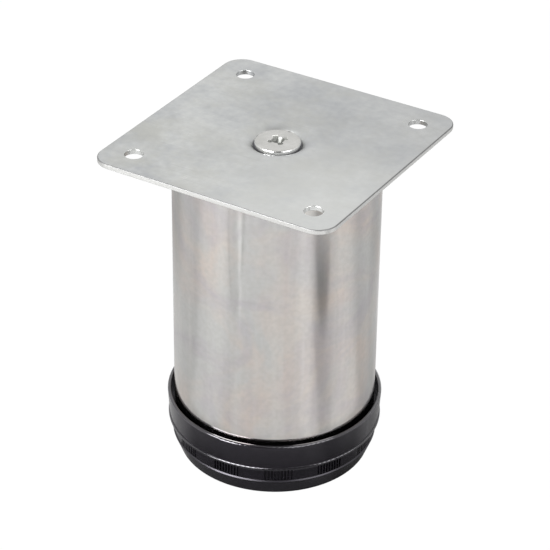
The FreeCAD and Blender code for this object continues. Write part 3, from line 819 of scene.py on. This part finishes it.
def thread_grid(profile_heights, angles, major, depth, pitch, low_fade, high_fade):
    """A thread: radius = major - depth x saw, where saw runs 0, 1, 0 once per pitch along the helix.

    The helix's phase is height / pitch less angle / full turn. The saw has flat crests and roots because
    it is stretched and clipped. Near both ends the groove fades out over the given lengths.
    """
    height, angle = np.meshgrid(profile_heights, angles, indexing="ij")
    phase = height / pitch - angle / (2 * np.pi)
    saw = np.abs(2 * (phase - np.floor(phase)) - 1)
    groove = np.clip(saw * CREST_STRETCH - CREST_SHIFT, 0, 1)
    from_low = (height - profile_heights[0]) / low_fade
    from_high = (profile_heights[-1] - height) / high_fade
    fade = np.clip(np.minimum(from_low, from_high), 0, 1)
    return round_axis(major - depth * groove * fade, angle, height)


# %% Screw and the marks on its points
def make_screw():
    """Head, underside, threaded shank and tip."""
    top = SCREW_HIGH[2]
    seat = top - HEAD_HEIGHT
    tip = SCREW_LOW[2]
    middle = head_middle(top)
    surround, angles = head_surround(middle, top)
    rim_top = dome_height(HEAD_RADIUS - HEAD_ROUND, top)
    corners = [
        (HEAD_RADIUS - HEAD_ROUND, rim_top, 0),
        (HEAD_RADIUS, rim_top, RIM_ROUND),
        (HEAD_RADIUS, seat, SEAT_ROUND),
        (SCREW_RADIUS, seat, 0),
    ]
    rim = turned_grid(rounded_profile(corners, steps=10), angles)
    shank_end = tip + SCREW_CHAMFER
    heights = np.linspace(seat, shank_end, SCREW_ROWS)
    shank = thread_grid(heights[::-1], angles, SCREW_RADIUS, SCREW_GROOVE, SCREW_PITCH, *SCREW_FADES)
    end = np.array([(SCREW_RADIUS, shank_end), (SCREW_RADIUS - SCREW_CHAMFER, tip), (0, tip)])
    grids = [middle, surround, rim, shank, turned_grid(end, angles)]
    piece = mesh_from_grids("cross_screw", grids)
    x, y, z = point_rows(piece)
    # The recess mark also sets where painted shade darkens the zinc.
    depth = np.clip((dome_height(np.hypot(x, y), top) - z) / RECESS_DEPTH, 0, 1)
    mark_points(piece, "recess", np.where(np.hypot(x, y) < SQUARE_HALF, depth, 0))
    # The wall mark sets where a painted highlight brightens the zinc.
    below_rim = z < rim_top - WALL_START
    mark_points(piece, "wall", below_rim & (np.hypot(x, y) > HEAD_RADIUS - WALL_INSET))
    return piece


screw = put_on(make_screw(), "plate_screw", "leg")

# %% [markdown]
# ## The spindle
#
# The spindle is what the foot turns on. It shows when the foot is screwed out. The construction model has a
# plain shank, because the joint stands for the thread. The real one is a rolled metric thread, so here it
# is a helical surface on the shank, above a hexagon head with turned corners.

# %% Spindle
SPINDLE_RADIUS = 4.95 * MM
SPINDLE_PITCH = 1.5 * MM
SPINDLE_GROOVE = 0.8 * MM
SPINDLE_CHAMFER = 1.2 * MM
HEAD_FLATS = 16.0 * MM
SPINDLE_HEAD_HEIGHT = 6.4 * MM
SPINDLE_FADES = (2 * MM, 0.6 * MM)
SPINDLE_SEGMENTS = 96
ROWS_PER_PITCH = 14


def spindle_head(angles, low, high):
    """Rows of the head from the shank out over its top, down its sides and over the turned lower corners.

    A hexagon's side lies at half its width across flats / cosine of the angle off the flat.
    """
    sixth = np.pi / 3
    radius = HEAD_FLATS / 2 / np.cos(np.mod(angles, sixth) - sixth / 2)
    fall = (radius - HEAD_FLATS / 2) * np.tan(sixth / 2)
    rows = [(SPINDLE_RADIUS, high), (radius, high), (radius, low + fall), (HEAD_FLATS / 2, low), (0, low)]
    return np.stack([round_axis(ring, angles, height) for ring, height in rows])


def make_spindle():
    """Hexagon head below and threaded shank above."""
    angles = full_circle(SPINDLE_SEGMENTS)
    low, high = SPINDLE_LOW[2], SPINDLE_HIGH[2]
    head_top = low + SPINDLE_HEAD_HEIGHT
    crest = high - SPINDLE_CHAMFER
    rows = int((crest - head_top) / SPINDLE_PITCH * ROWS_PER_PITCH)
    heights = np.linspace(head_top, crest, rows)
    shank = thread_grid(heights, angles, SPINDLE_RADIUS, SPINDLE_GROOVE, SPINDLE_PITCH, *SPINDLE_FADES)
    end = np.array([(SPINDLE_RADIUS, crest), (SPINDLE_RADIUS - SPINDLE_CHAMFER, high), (0, high)])
    grids = [spindle_head(angles, low, head_top), shank, turned_grid(end, angles)]
    return mesh_from_grids("threaded_spindle", grids)


spindle = put_on(make_spindle(), "foot_spindle", "foot")

# %% [markdown]
# ## Shared effects
#
# Worn metal and moulded plastic are never even. Blotches are soft patches of two sizes, which plating and
# the plastic's skin both have. Scuffs are fine scratches in three directions, for the plate. Each is a
# node group, so that another finish can use it again.


# %% Noise and groups
def new_group(name, numbers=()):
    """An empty node group: a vector and the named numbers go in, and one mask comes out."""
    group = bpy.data.node_groups.new(name, "ShaderNodeTree")
    group.interface.new_socket(name="Vector", in_out="INPUT", socket_type="NodeSocketVector")
    for label in numbers:
        group.interface.new_socket(name=label, in_out="INPUT", socket_type="NodeSocketFloat")
    group.interface.new_socket(name="Mask", in_out="OUTPUT", socket_type="NodeSocketFloat")
    given = group.nodes.new("NodeGroupInput").outputs
    return group, given, group.nodes.new("NodeGroupOutput").inputs["Mask"]


def noise(tree, vector, scale, detail=4.0, roughness=0.5, distortion=0.0):
    """A Noise Texture. Gives its value socket. Scale is in patches per metre, as a number or a socket."""
    grain = {"Detail": detail, "Roughness": roughness, "Distortion": distortion}
    return add_node(tree, "TexNoise", {"Vector": vector, "Scale": scale, **grain}, "Fac")


def stretched_noise(tree, vector, scale, turn, *grain):
    """Noise that a Mapping node stretches by a scale of its own along each axis, and turns."""
    mapped = add_node(tree, "Mapping", {"Vector": vector, "Rotation": turn, "Scale": scale})
    return noise(tree, mapped, 1.0, *grain)


# %% Blotches and scuffs
LARGE_CONTRAST = (0.34, 0.66)
FINE_CONTRAST = (0.3, 0.7)
SCUFF_SCALE = (60, 2600, 300)
SCUFF_DIRECTIONS = np.radians([12, 71, 128])
SCUFF_DETAIL = 2
SCUFF_PEAKS = (0.66, 0.76)


def make_blotches():
    """Soft patches: large noise and fine noise added in given shares."""
    group, given, mask = new_group("blotches", ["Large Scale", "Fine Scale", "Fine Share"])
    large = noise(group, given["Vector"], given["Large Scale"], detail=3)
    fine = noise(group, given["Vector"], given["Fine Scale"], detail=5)
    parts = {"A": between(group, large, *LARGE_CONTRAST), "B": between(group, fine, *FINE_CONTRAST)}
    group.links.new(add_node(group, "Mix", {"Factor": given["Fine Share"], **parts}), mask)
    return group


def make_scuffs():
    """Fine scratches: noise stretched along three directions, of which only the peaks count."""
    group, given, mask = new_group("scuffs")
    strongest = 0.0
    for direction in SCUFF_DIRECTIONS:
        lines = stretched_noise(group, given["Vector"], SCUFF_SCALE, (0, 0, direction), SCUFF_DETAIL)
        strongest = math_node(group, "MAXIMUM", strongest, between(group, lines, *SCUFF_PEAKS))
    group.links.new(strongest, mask)
    return group


BLOTCHES = make_blotches()
SCUFFS = make_scuffs()
print("groups:", BLOTCHES.name, SCUFFS.name)

# %% [markdown]
# ## Materials
#
# Each finish starts from a Principled shader with Object coordinates, so that its pattern is in metres on
# the piece and stays with it when the piece moves. Metal is Metallic 1 with its colour in Base Color.
# What changes over the surface feeds Base Color, Roughness or the height of a Bump node. A finish is a
# base colour with layers: each has a name, a share and a colour in a table above its function, and a mask
# that says where it lies. The sockets' own colour and roughness are for viewers that read no nodes.


# %% Material helpers
def new_material(name, colour, roughness, **values):
    """A Principled material. Gives the material, its tree, its shader's inputs and Object coordinates."""
    material = bpy.data.materials.new(name)
    material.use_nodes = True
    tree = material.node_tree
    inputs = tree.nodes["Principled BSDF"].inputs
    for label, value in {"Base_Color": (*colour, 1), "Roughness": roughness, **values}.items():
        inputs[label.replace("_", " ")].default_value = value
    return material, tree, inputs, add_node(tree, "TexCoord", output="Object")


def blotched(tree, place, large, fine, share):
    """The blotches' mask, with patches per metre of both sizes and the fine ones' share."""
    values = {"Vector": place, "Large Scale": large, "Fine Scale": fine, "Fine Share": share}
    return add_node(tree, "Group", values, "Mask", node_tree=BLOTCHES)


def layered(tree, tone, layers, masks):
    """Colours laid over the tone in the order of the layers: each by its share where its mask is."""
    for name, (share, colour) in layers.items():
        tone = blended(tree, math_node(tree, "MULTIPLY", masks[name], share), tone, colour)
    return tone


def marked(tree, name):
    """The number that the mesh carries on its points under this name."""
    return add_node(tree, "Attribute", output="Fac", attribute_name=name)


def nearness(tree, place, centre, inner, outer):
    """1 within the inner distance of a point, falling smoothly to 0 at the outer distance."""
    gap = add_node(tree, "VectorMath", {0: place, 1: centre}, "Value", operation="DISTANCE")
    return stepped(tree, gap, outer, inner)


def painted(tree, inputs, **sockets):
    """Each socket joined to the shader's input of the same name."""
    for label, socket in sockets.items():
        tree.links.new(socket, inputs[label.replace("_", " ")])


def bumped(tree, height, distance, strength):
    """A Bump node of a real height. Gives the normal."""
    return add_node(tree, "Bump", {"Height": height, "Distance": distance, "Strength": strength}, "Normal")


# %% [markdown]
# ## Zinc
#
# The plate was pressed from sheet and zinc-plated. It is satin, with soft patches where the plating took
# differently, yellowish stains and fine scuffs. Painted shade darkens it towards its back corner, and
# painted light brightens it towards its front one. Along its edge runs a darker, duller line above a cut
# face with a painted highlight, and painted shade fills the dish round the screw. The screw has the same
# zinc on a turned head with fine rings and two small dark dots. Its recess is duller than its face and
# darkened by painted shade, and its side wall has a painted highlight. Painted images would need seams.
# Noise in metres has none, and the meshes already say where edge, top edge line, dish, recess and wall are,
# in numbers that they carry on their points.

# %% Zinc on the plate
# Painted shade darkens the plate towards its back right corner, and painted light brightens it towards the
# corner nearest the front.
SHADE_CORNER = (0.034, 0.040, PLATE_TOP)
SHADE_REACH = (0.010, 0.085)
LIGHT_CORNER = (0.030, -0.030, PLATE_TOP)
LIGHT_REACH = (0.0, 0.055)
STAIN_CONTRAST = (0.46, 0.66)
GAP_SHADE_DEPTHS = (0.8, 0.98)
PLATE_DARK = (0.495, 0.51, 0.525)
PLATE_PALE = (0.735, 0.745, 0.73)
PLATE_LAYERS = {
    "scuffs": (0.5, (0.50, 0.50, 0.50)),
    "stains": (0.6, (0.53, 0.53, 0.49)),
    "painted shade corner": (0.40, (0.43, 0.435, 0.445)),
    "painted light corner": (0.60, (0.76, 0.77, 0.755)),
    # Painted highlight: the cut face is painted paler for the light it catches.
    "rim": (1.0, (0.73, 0.73, 0.715)),
    # A darker, duller line along the top of the edge.
    "top_edge_line": (1.0, (0.25, 0.25, 0.25)),
    # Painted shade in the gap between the dish and the screw's head.
    "painted gap shade": (1.0, (0.10, 0.10, 0.11)),
}
PLATE_ROUGHNESS = (0.36, 0.27)
TOP_EDGE_ROUGHNESS = 0.2
GRAIN_HEIGHT = 0.02 * MM


def make_plate_zinc():
    """Bright zinc on pressed sheet: satin, with soft darker patches and fine scuffs.

    Painted shade and light fall across it, a painted highlight brightens its cut edge, and painted shade
    darkens the dish round the screw.
    """
    material, tree, inputs, place = new_material("plate_zinc", (0.66, 0.67, 0.66), 0.3, Metallic=1.0)
    patches = blotched(tree, place, large=60.0, fine=420.0, share=0.4)
    stains = noise(tree, place, scale=55.0, detail=6, roughness=0.7)
    top_edge_line = marked(tree, "top_edge_line")
    masks = {
        "scuffs": add_node(tree, "Group", {"Vector": place}, "Mask", node_tree=SCUFFS),
        "stains": between(tree, stains, *STAIN_CONTRAST),
        "painted shade corner": nearness(tree, place, SHADE_CORNER, *SHADE_REACH),
        "painted light corner": nearness(tree, place, LIGHT_CORNER, *LIGHT_REACH),
        "rim": marked(tree, "rim"),
        "top_edge_line": top_edge_line,
        "painted gap shade": between(tree, marked(tree, "dish"), *GAP_SHADE_DEPTHS),
    }
    tone = layered(tree, blended(tree, patches, PLATE_DARK, PLATE_PALE), PLATE_LAYERS, masks)
    blur = math_node(tree, "MULTIPLY", top_edge_line, TOP_EDGE_ROUGHNESS)
    satin = math_node(tree, "ADD", ranged(tree, patches, *PLATE_ROUGHNESS), blur)
    grain = bumped(tree, noise(tree, place, scale=1500.0, detail=3), GRAIN_HEIGHT, strength=0.4)
    painted(tree, inputs, Base_Color=tone, Roughness=satin, Normal=grain)
    return material


plate.data.materials.append(make_plate_zinc())
print("plate layers:", ", ".join(PLATE_LAYERS))

# %% Zinc on the screw
# Two small dark dots on the edge of the head.
DARK_SPOTS = [(0.20 * MM, 6.24 * MM, SCREW_HIGH[2]), (-6.50 * MM, -1.07 * MM, SCREW_HIGH[2])]
DARK_SPOT_REACH = (0.2 * MM, 0.7 * MM)
HOLLOW_DEPTHS = (0.0, 0.12)
HOLLOW_ROUGHNESS = 0.4
SCREW_DARK = (0.58, 0.58, 0.555)
SCREW_PALE = (0.72, 0.715, 0.695)
SCREW_LAYERS = {
    # Painted shade in the recess, which is also duller.
    "dull_shaded_recess": (1.0, (0.32, 0.325, 0.31)),
    # Painted highlight on the head's side wall.
    "wall": (1.0, (0.88, 0.88, 0.87)),
    "dark_spots": (1.0, (0.08, 0.08, 0.08)),
}
SCREW_ROUGHNESS = (0.24, 0.18)
RING_HEIGHT = 0.004 * MM


def make_screw_zinc():
    """Zinc on a turned head: fine rings left by the tool, a little warmer than the plate.

    Painted shade darkens its recess, and a painted highlight brightens its side wall.
    """
    material, tree, inputs, place = new_material("screw_zinc", (0.74, 0.74, 0.72), 0.2, Metallic=1.0)
    waves = {"Vector": place, "Scale": 420.0, "Distortion": 0.5}
    rings = add_node(tree, "TexWave", waves, "Fac", wave_type="RINGS", rings_direction="Z")
    patches = blotched(tree, place, large=220.0, fine=700.0, share=0.3)
    dull_shaded_recess = between(tree, marked(tree, "recess"), *HOLLOW_DEPTHS)
    dark_spots = math_node(tree, "MAXIMUM", *[nearness(tree, place, spot, *DARK_SPOT_REACH) for spot in DARK_SPOTS])
    masks = {"dull_shaded_recess": dull_shaded_recess, "wall": marked(tree, "wall"), "dark_spots": dark_spots}
    tone = layered(tree, blended(tree, patches, SCREW_DARK, SCREW_PALE), SCREW_LAYERS, masks)
    dull = math_node(tree, "MULTIPLY", dull_shaded_recess, HOLLOW_ROUGHNESS)
    polish = math_node(tree, "ADD", ranged(tree, patches, *SCREW_ROUGHNESS), dull)
    marks = bumped(tree, rings, RING_HEIGHT, strength=0.4)
    painted(tree, inputs, Base_Color=tone, Roughness=polish, Normal=marks)
    return material


screw.data.materials.append(make_screw_zinc())
print("screw layers:", ", ".join(SCREW_LAYERS))

# %% [markdown]
# ## Steel
#
# A tube like this is welded, polished along its length and handled. So it has streaks, warm and cool
# tints, cloudy duller patches and a fine speckle. Streaks come from noise that is stretched far along the
# axis, and the rest from noise of other sizes. The nuts, the bridge and the spindle are plain plated steel
# and are hardly seen.

# %% Steel of the tube
# Each noise: scale along x, y and z, turn, detail, roughness, distortion, and the range that counts.
TUBE_NOISES = {
    "streaks": ((150, 150, 5), (0, 0, 0), 6, 0.60, 0.0, (0.45, 0.80)),
    "clouds": ((34, 34, 46), (0.5, 0.3, 0), 5, 0.60, 1.2, (0.50, 0.72)),
    "tints": ((30, 30, 34), (0, 0.6, 0.4), 4, 0.55, 1.8, (0.39, 0.61)),
    "speckle": ((700, 700, 700), (0, 0, 0), 4, 0.50, 0.0, (0.40, 0.62)),
}
TUBE_COOL = (0.602, 0.602, 0.590)
TUBE_WARM = (0.680, 0.605, 0.555)
TUBE_LAYERS = {
    "clouds": (1.0, (0.530, 0.503, 0.533)),
    "streaks": (1.0, (0.70, 0.69, 0.66)),
    "speckle": (0.22, (0.46, 0.45, 0.43)),
}
DULL_CLOUDS = (0.3, 0.7)
TUBE_ROUGHNESS = (0.09, 0.17)
STREAK_HEIGHT = 0.01 * MM


def make_tube_steel():
    """Polished steel: uneven streaks along the tube, cloudy warm and cool tints, and small dull spots."""
    material, tree, inputs, place = new_material("polished_steel", (0.75, 0.73, 0.70), 0.12, Metallic=1.0)
    noises = {name: stretched_noise(tree, place, *row[:-1]) for name, row in TUBE_NOISES.items()}
    masks = {name: between(tree, noises[name], *row[-1]) for name, row in TUBE_NOISES.items()}
    tone = layered(tree, blended(tree, masks["tints"], TUBE_COOL, TUBE_WARM), TUBE_LAYERS, masks)
    blur = between(tree, noises["clouds"], *DULL_CLOUDS, onto=TUBE_ROUGHNESS)
    relief = bumped(tree, noises["streaks"], STREAK_HEIGHT, strength=0.2)
    painted(tree, inputs, Base_Color=tone, Roughness=blur, Normal=relief)
    return material


tube.data.materials.append(make_tube_steel())
print("tube layers:", ", ".join(TUBE_LAYERS))

# %% Steel of the inner pieces
INNER_DARK = (0.48, 0.48, 0.48)
INNER_PALE = (0.60, 0.61, 0.62)
INNER_ROUGHNESS = (0.42, 0.28)


def make_inner_steel():
    """Zinc plated steel of the nuts, the bridge and the spindle: duller, with small patches."""
    material, tree, inputs, place = new_material("inner_steel", (0.55, 0.56, 0.57), 0.35, Metallic=1.0)
    patches = blotched(tree, place, large=150.0, fine=800.0, share=0.5)
    tone = blended(tree, patches, INNER_DARK, INNER_PALE)
    painted(tree, inputs, Base_Color=tone, Roughness=ranged(tree, patches, *INNER_ROUGHNESS))
    return material


inner_steel = make_inner_steel()
spindle.data.materials.append(inner_steel)

# %% [markdown]
# ## Black plastic
#
# The socket, the foot and the glide are moulded in a glossy black plastic, with the faint waviness of a
# moulded skin. The photograph's brightest lines lie on the bead and on the collar's rim, so these two bands
# get a second, clear gloss. The top of the glide shows a weaker line and is duller. Both are told by height,
# which on these turned pieces is the simplest mark.

# %% Black plastic
DULL_SEAM = (4.9 * MM, 5.9 * MM)
SEAM_ROUGHNESS = 0.15
SHINY_BANDS = [(10.2 * MM, 11.0 * MM), (18.3 * MM, 18.9 * MM)]
PLASTIC_DARK = (0.0018, 0.0015, 0.0023)
PLASTIC_PALE = (0.0035, 0.003, 0.0045)
PLASTIC_TINT = (0.93, 0.89, 1.0, 1)
PLASTIC_IOR = 1.66
PLASTIC_ROUGHNESS = (0.11, 0.18)
WAVE_HEIGHT = 0.02 * MM


def banded(tree, value, low, high):
    """1 where the value lies between low and high, and 0 elsewhere."""
    above = math_node(tree, "GREATER_THAN", value, low)
    return math_node(tree, "MULTIPLY", above, math_node(tree, "LESS_THAN", value, high))


def make_black_plastic():
    """Glossy moulded plastic: almost black, with the slight waviness of a moulded skin."""
    plain = {"Specular_Tint": PLASTIC_TINT, "IOR": PLASTIC_IOR}
    material, tree, inputs, place = new_material("black_plastic", (0.008, 0.008, 0.009), 0.16, **plain)
    patches = blotched(tree, place, large=90.0, fine=700.0, share=0.5)
    tone = blended(tree, patches, PLASTIC_DARK, PLASTIC_PALE)
    height = add_node(tree, "SeparateXYZ", {0: place}, "Z")
    seam = math_node(tree, "MULTIPLY", banded(tree, height, *DULL_SEAM), SEAM_ROUGHNESS)
    gloss = math_node(tree, "ADD", ranged(tree, patches, *PLASTIC_ROUGHNESS), seam)
    shine = math_node(tree, "ADD", *[banded(tree, height, *band) for band in SHINY_BANDS])
    waves = bumped(tree, noise(tree, place, scale=260.0, detail=2), WAVE_HEIGHT, strength=0.4)
    painted(tree, inputs, Base_Color=tone, Roughness=gloss, Coat_Weight=shine, Normal=waves)
    return material


black_plastic = make_black_plastic()
for node in ("end_socket", "adjusting_foot", "foot_glide"):
    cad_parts[node].data.materials[0] = black_plastic
for node in ("top_bridge", "bridge_nut", "spindle_nut"):
    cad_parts[node].data.materials[0] = inner_steel
print("materials:", ", ".join(material.name for material in bpy.data.materials))
